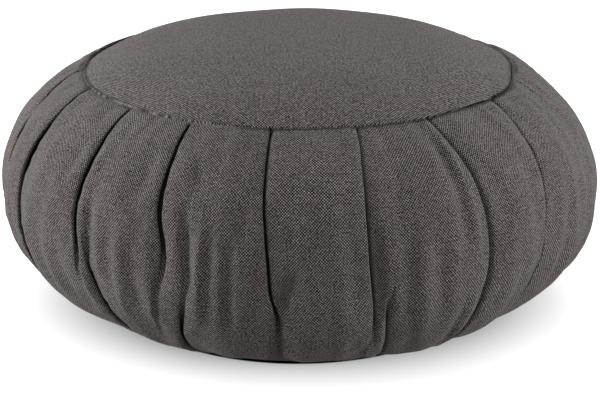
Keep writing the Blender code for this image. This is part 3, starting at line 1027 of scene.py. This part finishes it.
def swelling(angles, levels):
    """How far a blown-up tube of cloth moves outwards at the given angles and levels."""
    tube, tube_row, tube_column = flat_cloth(len(levels), len(angles))
    around = angles[tube_column]
    before = ring_points(around, line[levels, 0][tube_row], line[levels, 1][tube_row])
    move_points(tube, before)
    blow_up(tube, fold_hold(angles, levels)[tube_row, tube_column])
    moved = read_points(tube) - before
    outwards = moved[:, 0] * np.sin(around) - moved[:, 1] * np.cos(around)
    normal_out, normal_up = line_normals[levels][tube_row].T
    grid = np.zeros((len(levels), len(angles)))
    grid[tube_row, tube_column] = outwards * normal_out + moved[:, 2] * normal_up
    bpy.data.objects.remove(tube)
    return grid


# %% Swelling of the strip
SWELL_LIMIT = 2.2 * MM
SWELL_SHARE = 0.8
SWELL_FADE_LOW, SWELL_FADE_HIGH = 0.012, 0.052

swell = np.zeros_like(position)
sim_angles = np.linspace(-math.pi, math.pi, SIM_COLUMNS + 1)
sim_levels = np.arange(ROLL_LEVELS, ROLL_LEVELS + LEVELS, SIM_STEP)
grid = swelling(sim_angles, sim_levels)
print("swelling from", round(float(grid.min()) / MM, 2), "to", round(float(grid.max()) / MM, 2), "mm")
grid = SWELL_SHARE * (grid - grid.mean(axis=1, keepdims=True))
grid = np.clip(grid, -SWELL_LIMIT, SWELL_LIMIT)
grid *= ramp(heights[sim_levels], SWELL_FADE_LOW, SWELL_FADE_HIGH)[:, None]
turned = (position + math.pi) % (2 * math.pi) - math.pi
levels = np.arange(len(heights))
lower_row = np.clip((levels - ROLL_LEVELS) // SIM_STEP, 0, len(sim_levels) - 2)
share = np.clip((levels - sim_levels[lower_row]) / SIM_STEP, 0.0, 1.0)
for r in levels:
    above = np.interp(turned[r], sim_angles, grid[lower_row[r]])
    below = np.interp(turned[r], sim_angles, grid[lower_row[r] + 1])
    swell[r] = above + (below - above) * share[r]

# %% Lower and raise the strip
lift = fold_relief(position) + ripple(position) + seam_gathers(position) + swell - side_pull(position)
depth = depth - lift * (1 - in_roll)[:, None]
print("raised by up to", round(float(lift.max()) / MM, 1), "mm")

# %% [markdown]
# ## Seams and the ends of the strip
# Near each seam the strip follows the seam's bends and lifts. Where the two cloths of the top seam
# meet flush, its last rows lie flat instead of rolling down into a groove. On the real cushion the
# filling presses against both round panels. Here strip and filling are one solid piece, so the grid
# gets a few more rows at both ends, which run in under the panels and meet on the axis.

# %% Rows of the strip
SEAM_REACH = 0.045
# the next two give how far a painted shade reaches: up from the bottom seam, as the shadow where the
# cloth meets the table, and down from the top seam where it is open, into its groove
LOWER_SHADE = 2.2 * MM
UPPER_SHADE = 0.8 * MM
FLAT_REACH = 2.8 * MM
FLAT_RISE = 0.3 * MM

reach = line[:, :1] - depth * line_normals[:, :1]
rise = line[:, 1:] - depth * line_normals[:, 1:]
from_top = (down - down[ROLL_LEVELS])[:, None]
from_bottom = (down[-1 - ROLL_LEVELS] - down)[:, None]
near_top = 1 - ease(from_top / SEAM_REACH)
near_bottom = 1 - ease(from_bottom / SEAM_REACH)
reach = reach + seam_bend(position) * (near_top + LOWER_BEND * near_bottom)
rise = rise + seam_lift(position) * near_bottom
# painted shade over the bottom seam and under an open top seam
painted_shade = np.maximum(painted_shade, 1 - ease(from_bottom / LOWER_SHADE))
painted_shade = np.maximum(painted_shade, (1 - ease(from_top / UPPER_SHADE)) * (1 - seam_closed(position)))

rolled = position[:ROLL_LEVELS]
flat_reach = line[ROLL_LEVELS, 0] - FLAT_REACH * into_seam[:, None] + seam_bend(rolled)
flat_rise = line[ROLL_LEVELS, 1] + FLAT_RISE * into_seam[:, None]
reach[:ROLL_LEVELS] += seam_closed(rolled) * (flat_reach - reach[:ROLL_LEVELS])
rise[:ROLL_LEVELS] += seam_closed(rolled) * (flat_rise - rise[:ROLL_LEVELS])
strip = ring_points(position, reach, rise)
print("the strip's lowest and highest point:", round(float(rise.min()), 4), round(float(rise.max()), 4))

# %% Rows that run in under the panels
# radius and height of each row, from the axis to the top seam and from the bottom seam to the axis
TOP_CAP = ((0.0, 0.1648), (0.0600, 0.1632), (0.1000, 0.1562), (0.1210, 0.1458), (0.1286, 0.1445))
BOTTOM_CAP = ((0.1286, 0.0170), (0.1210, 0.0152), (0.1000, 0.0052), (0.0600, 0.0030), (0.0, 0.0030))
CAP_STEP = 0.01


def even_round(start):
    """Angles for one even turn that starts where a row of the strip does."""
    return np.linspace(start, start + 2 * math.pi, COLUMNS)


around = even_round(position[0, 0])
top_rows = [ring_points(around, radius, height) for radius, height in TOP_CAP]
around = even_round(position[-1, 0])
bottom_rows = []
for radius, height in BOTTOM_CAP:
    bottom_rows.append(ring_points(around, radius, height + rim_lift(around, radius)))
laid = np.concatenate([np.stack(top_rows), strip, np.stack(bottom_rows)])
before_strip = -CAP_STEP * np.arange(len(TOP_CAP), 0, -1)
past_strip = down[-1] + CAP_STEP * np.arange(1, len(BOTTOM_CAP) + 1)
down_all = np.concatenate([before_strip, down, past_strip])
# the rows under the panels, never lit, get full painted shade
top_shade, bottom_shade = (np.ones((len(cap), COLUMNS)) for cap in (TOP_CAP, BOTTOM_CAP))
painted_shade_all = np.concatenate([top_shade, painted_shade, bottom_shade])
ROWS = len(laid)
print("rows:", len(top_rows), "in the top,", len(strip), "in the strip,", len(bottom_rows), "underneath")

# %% Lay the strip
side, row, column = flat_cloth(ROWS, COLUMNS)
side.name = "pleated_strip"
move_points(side, laid[row, column])
# the painted shade goes with the strip as an attribute: shade painted into the colour in folds, grooves
# and seams
shade = side.data.attributes.new("painted_shade", "FLOAT", "POINT")
shade.data.foreach_set("value", painted_shade_all[row, column].astype(np.float32))
print("laid", ROWS, "x", COLUMNS, "points")

# %% [markdown]
# ## Threads that follow the cloth
# The weave has to follow the cloth, so the strip gets its own UV map, in metres of cloth. Across
# a panel it counts from the panel's middle line, where the threads run straight up and down, and
# the pleats cut across the threads at a slant as they do on the real strip.

# %% Cloth coordinates
PANEL_SPACING = 0.0855

laid_steps = np.linalg.norm(np.diff(laid, axis=1), axis=2)
round_way = np.concatenate([np.zeros((ROWS, 1)), np.cumsum(laid_steps, axis=1)], axis=1)
print("cloth in the widest row:", round(float(round_way[:, -1].max()), 2), "m")
cloth_u = np.zeros((2, ROWS, COLUMNS))
panels = np.array(panel_of)
for number in sorted(set(panel_of)):
    members = np.flatnonzero(panels == number)
    first, last = members[0], members[-1] + 1
    middle = round_way[:, (first + last) // 2][:, None]
    for edge in (0, 1):
        span = slice(first + edge, last + edge)
        cloth_u[edge, :, span] = round_way[:, span] - middle + number * PANEL_SPACING

# a column between two panels has one place on the left one's cloth and another on the right one's
corners = corner_points(side)
corner_column, corner_row = column[corners], row[corners]
face_column = np.repeat(corner_column.reshape(-1, 4).min(axis=1), 4)
is_right = (corner_column > face_column).astype(int)
lay_threads(side, np.stack([cloth_u[is_right, corner_row, corner_column], -down_all[corner_row]], axis=1))

# %% [markdown]
# ## Closing the stuffed body
# The grid is still open: its two ends lie on each other, and its first and last rows have shrunk
# to a point on the axis. One merge joins the ends of the strip and closes both middles.

# %% Merge and smooth
MERGE_DISTANCE = 1e-6

bpy.ops.object.mode_set(mode="EDIT")
bpy.ops.mesh.select_all(action="SELECT")
bpy.ops.mesh.remove_doubles(threshold=MERGE_DISTANCE)
bpy.ops.mesh.normals_make_consistent(inside=False)
bpy.ops.object.mode_set(mode="OBJECT")
bpy.ops.object.shade_smooth()
loose_edges = sum(1 for edge in side.data.edges if edge.is_loose)
print("side:", len(side.data.polygons), "faces,", loose_edges, "loose edges")

# %% [markdown]
# ## The round panels
# The top panel is one disc of canvas. The filling lifts it almost flat across the middle, and it
# drops towards the seam where it is held down. A ring of points is extruded inwards, ring by ring,
# and each ring is set to its radius and height. The underside panel is made the same way, but it
# rests flat on the table and only its outer part curves up to its seam.

# %% Panel profiles
PANEL_RINGS = 22
PANEL_ROLL = 0.0014
EDGE_TURNS = (25.0, 50.0, 75.0, 96.0)
EDGE_DROP = 0.0012
CROWN_FLAT = 0.104
CROWN_EDGE = (0.1147, TOP_SEAM_HEIGHT + 0.0054)
REST_EDGE = (0.1185, 0.0082)
REST_FLAT = 0.106
FLAT_POINTS = 60

panel_edge = SEAM_RADIUS - PANEL_ROLL - SEAM_CLEARANCE
crown = bezier(
    (0.0, CROWN_HEIGHT),
    (CROWN_FLAT, CROWN_HEIGHT),
    CROWN_EDGE,
    (panel_edge, TOP_SEAM_HEIGHT + SEAM_CLEARANCE),
    fine,
)
rest = bezier(
    (panel_edge, BOTTOM_SEAM_HEIGHT - SEAM_CLEARANCE),
    REST_EDGE,
    (REST_FLAT, 0.0),
    (RESTING_RADIUS, 0.0),
    fine,
)[::-1]
flat_part = np.stack([np.linspace(0.0, RESTING_RADIUS, FLAT_POINTS), np.zeros(FLAT_POINTS)], axis=1)
rest = np.concatenate([flat_part, rest[1:]])


def rolled_edge(points, upwards):
    """The profile with its outer end turned over a small roll and down into the seam."""
    along = points[-1] - points[-2]
    along /= np.hypot(*along)
    normal = np.array([-along[1], along[0]]) * upwards
    centre = points[-1] - normal * PANEL_ROLL
    turned = []
    for turn in np.radians(EDGE_TURNS):
        turned.append(centre + (normal * math.cos(turn) + along * math.sin(turn)) * PANEL_ROLL)
    turned.append(turned[-1] - normal * EDGE_DROP)
    return np.concatenate([points, np.array(turned)])


crown_rings = rolled_edge(even_steps(crown, PANEL_RINGS), 1.0)
rest_rings = rolled_edge(even_steps(rest, PANEL_RINGS), -1.0)
print("panel rings:", len(crown_rings), len(rest_rings))

# %% Build a panel
PANEL_POINTS = 256


def make_panel(name, rings, upwards):
    """A disc of cloth, built ring by ring from its outer edge to its middle."""
    radius, height = rings[-1]
    bpy.ops.object.select_all(action="DESELECT")
    bpy.ops.mesh.primitive_circle_add(vertices=PANEL_POINTS, radius=radius, fill_type="NOTHING")
    panel = bpy.context.active_object
    panel.name = name
    bpy.ops.object.mode_set(mode="EDIT")
    bpy.ops.mesh.select_all(action="SELECT")
    bpy.ops.transform.translate(value=(AXIS_X, AXIS_Y, height))
    for next_radius, next_height in rings[-2:0:-1]:
        step = (0.0, 0.0, next_height - height)
        bpy.ops.mesh.extrude_edges_move(TRANSFORM_OT_translate={"value": step})
        scale = next_radius / radius
        middle = (AXIS_X, AXIS_Y, next_height)
        bpy.ops.transform.resize(value=(scale, scale, 1.0), center_override=middle)
        radius, height = next_radius, next_height
    step = (0.0, 0.0, rings[0][1] - height)
    bpy.ops.mesh.extrude_edges_move(TRANSFORM_OT_translate={"value": step})
    bpy.ops.mesh.merge(type="CENTER")
    bpy.ops.mesh.select_all(action="SELECT")
    bpy.ops.mesh.normals_make_consistent(inside=False)
    bpy.ops.object.mode_set(mode="OBJECT")
    facing = sum(face.normal.z * face.area for face in panel.data.polygons)
    if facing * upwards < 0:
        panel.data.flip_normals()
    return panel


# %% Waves of the top panel
SLOW_WAVES = 9
SLOW_WAVE_LENGTHS = (0.05, 0.13)
SLOW_WAVE_RISE = 0.13 * MM
PANEL_GATHERS = 12
PANEL_GATHER_COUNTS = (40, 170)
PANEL_GATHER_RISE = 0.06 * MM
PANEL_GATHER_REACH = 7 * MM
WAVES_GONE, WAVES_WHOLE = 0.122, 0.072
FLUSH_DROP = 0.3 * MM
FLUSH_SLOPE = 0.6


def panel_waves(x, y, radius, angle):
    """How far each point of the panel is lifted: slow waves, and small gathers at the seam."""
    waves = np.random.default_rng(11)
    total = np.zeros(len(x))
    for _ in range(SLOW_WAVES):
        heading = waves.uniform(0, math.pi)
        length = waves.uniform(*SLOW_WAVE_LENGTHS)
        travel = (x * math.cos(heading) + y * math.sin(heading)) / length
        total += SLOW_WAVE_RISE * np.sin(2 * math.pi * travel + waves.uniform(0, 2 * math.pi))
    gathers = sum_of_waves(waves, PANEL_GATHERS, PANEL_GATHER_COUNTS, angle)
    gathers *= PANEL_GATHER_RISE * np.exp(-(SEAM_RADIUS - radius) / PANEL_GATHER_REACH)
    gathers *= 1 - GATHERS_LOST_FLUSH * seam_closed(angle)
    return total * ramp(radius, WAVES_GONE, WAVES_WHOLE) + gathers


def wave_top(places, x, y, radius, angle):
    """Lift the waves of the top panel, and lay its edge flat where the seam is flush."""
    places[:, 2] += panel_waves(x, y, radius, angle)
    past_edge = np.maximum(radius - panel_edge, 0.0)
    flat = TOP_SEAM_HEIGHT - FLUSH_DROP - FLUSH_SLOPE * past_edge
    in_edge = (past_edge > MERGE_DISTANCE) * seam_closed(angle)
    places[:, 2] += in_edge * (flat - places[:, 2])


def lift_rim(places, x, y, radius, angle):
    """Draw the rim of the underside up with the bottom seam."""
    places[:, 2] += rim_lift(angle, radius)


# %% Finish the panels
PANEL_BEND_START, PANEL_BEND_WHOLE = 0.06, 0.12


def finish_panel(panel, raise_points, bend_share):
    """Waves or lifts, the bends of the seam, flat cloth coordinates, thickness, smooth shading."""
    places = read_points(panel)
    x, y = places[:, 0] - AXIS_X, places[:, 1] - AXIS_Y
    radius, angle = np.hypot(x, y), np.arctan2(x, -y)
    raise_points(places, x, y, radius, angle)
    bend = seam_bend(angle) * bend_share
    scale = 1 + bend * ramp(radius, PANEL_BEND_START, PANEL_BEND_WHOLE) / SEAM_RADIUS
    places[:, 0] = AXIS_X + x * scale
    places[:, 1] = AXIS_Y + y * scale
    move_points(panel, places)
    lay_threads(panel, places[corner_points(panel)][:, :2])
    thickness = panel.modifiers.new("thickness", "SOLIDIFY")
    thickness.thickness = PANEL_THICKNESS
    thickness.offset = -1.0
    bpy.context.view_layer.objects.active = panel
    bpy.ops.object.modifier_apply(modifier="thickness")
    bpy.ops.object.shade_smooth()
    rises = [vertex.co.z for vertex in panel.data.vertices]
    print(panel.name, len(rises), "points, from", round(min(rises), 4), "to", round(max(rises), 4))


top_panel = make_panel("round_top", crown_rings, 1.0)
finish_panel(top_panel, wave_top, 1.0)
bottom_panel = make_panel("round_underside", rest_rings, -1.0)
finish_panel(bottom_panel, lift_rim, LOWER_BEND)

# %% [markdown]
# ## Canvas
# All three pieces are cut from the same dyed cotton canvas. It is a plain weave of thick threads,
# so each crossing is a small bump, lit or shaded by turns; the weave raises the bumps, and paints
# that light and shade into the colour as well. Two sines, one along each thread direction, give the
# crossings, and noise makes them uneven. The contrast is less low down, where little light reaches.
# Deep in a fold or a seam there is almost no light, so a painted shade, kept in an attribute of the
# strip, darkens the colour there.

# %% Weave
WARP_SPACING = 0.74 * MM
WEFT_SPACING = 0.78 * MM
WANDER = 0.9 * MM
WANDER_SIZE = 12 * MM
SLUB_SIZE = 1.1 * MM
SLUB_STRETCH = 0.12
SLUB_CONTRAST = 0.5
PATCH_SIZE = 6 * MM
PATCH_CONTRAST = 1.6
WIDE_SIZE = 50 * MM
WIDE_CONTRAST = 0.3
WEAVE_LOW, WEAVE_WHOLE = 0.026, 0.070
WEAVE_LEFT_LOW = 0.3


def weave(cloth, fleck_size):
    """The crossings of the threads, between -1 and 1, and the flecks of the yarn."""
    wander = cloth.noise(WANDER_SIZE, 1.0) * WANDER
    warp = (cloth.part(0) + wander) * (math.pi / WARP_SPACING)
    weft = (cloth.part(1) + wander) * (math.pi / WEFT_SPACING)
    return warp.sine() * weft.sine(), cloth.noise(fleck_size)


def cloth_tone(cloth, space, crossings, fleck, thread_contrast, fleck_contrast, lightness):
    """How light the cloth is at each point: lightness, with threads, flecks and patches added."""
    upright = ((space.part(2) - WEAVE_LOW) / (WEAVE_WHOLE - WEAVE_LOW)).limited()
    strength = (cloth.noise(PATCH_SIZE) - 0.5) * PATCH_CONTRAST + 1.0
    strength = strength * (upright * (1 - WEAVE_LEFT_LOW) + WEAVE_LEFT_LOW)
    # the crossings in the colour are painted light and shade: each thread bump lighter or darker as if
    # lit or shaded
    grain = crossings * strength * thread_contrast + (fleck - 0.5) * fleck_contrast
    slub = (cloth.stretched((1.0, SLUB_STRETCH, 1.0)).noise(SLUB_SIZE) - 0.5) * SLUB_CONTRAST
    wide = (space.noise(WIDE_SIZE) - 0.5) * WIDE_CONTRAST
    return grain + slub + wide + lightness


# %% Canvas material
CLOTH_COLOUR = (0.118, 0.1025, 0.0995)
BRIGHTEST_THREAD = 4.0
# POCKET_SHADE is how much of the colour the painted shade in folds and seams takes away
POCKET_SHADE = 0.85
THREAD_BUMP = 0.3
BUMP_STRENGTH = 0.6
BUMP_DISTANCE = 0.4 * MM
FINISH = {"Roughness": 0.95, "Specular_IOR_Level": 0.15, "Sheen_Weight": 0.12, "Sheen_Roughness": 0.5}


def canvas(name, thread_contrast, fleck_contrast, fleck_size, lightness):
    """A dyed canvas, woven along the cloth coordinates of the piece."""
    material, surface = new_material(name, **FINISH)
    start = Shade(material.node_tree)
    cloth = start.node("ShaderNodeUVMap", {"uv_map": "cloth"})
    space = start.node("ShaderNodeTexCoord", output=3)
    crossings, fleck = weave(cloth, fleck_size)
    tone = cloth_tone(cloth, space, crossings, fleck, thread_contrast, fleck_contrast, lightness)
    # the painted shade of folds and seams darkens the colour here
    hidden = start.node("ShaderNodeAttribute", {"attribute_name": "painted_shade"}, output=2)
    share = (tone / BRIGHTEST_THREAD * (1 - hidden * POCKET_SHADE)).limited()
    ends = {0: share, 6: BLACK, 7: (*(BRIGHTEST_THREAD * c for c in CLOTH_COLOUR), 1.0)}
    start.node("ShaderNodeMix", {"data_type": "RGBA"}, ends, output=2).feed(surface, "Base Color")
    relief = crossings * THREAD_BUMP + fleck
    bump = {"Strength": BUMP_STRENGTH, "Distance": BUMP_DISTANCE, "Height": relief}
    start.node("ShaderNodeBump", {}, bump).feed(surface, "Normal")
    return material


# piece, material, contrast of the threads and of the flecks, size of a fleck, lightness
for piece, material_name, threads, flecks, size, lightness in (
    (side, "side_canvas", 2.6, 6.0, 1.1 * MM, 0.72),
    (top_panel, "top_canvas", 2.6, 6.5, 1.3 * MM, 0.73),
    (bottom_panel, "underside_canvas", 1.5, 4.0, 1.1 * MM, 0.90),
):
    piece.data.materials.clear()
    piece.data.materials.append(canvas(material_name, threads, flecks, size, lightness))
    print(material_name, "on", piece.name)

# %% [markdown]
# ## Fixing the looks to the frame
# The cushion moves as one body, so all three pieces ride its root, and each takes the place of the
# imported piece that it dresses. The strip with its filling is soft.

# %% Hand the pieces over
for piece, node, slot in (
    (side, "pleated_side", "side_cloth"),
    (top_panel, "top_panel", "top_cloth"),
    (bottom_panel, "bottom_panel", "bottom_cloth"),
):
    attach(piece, "root")
    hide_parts(node)
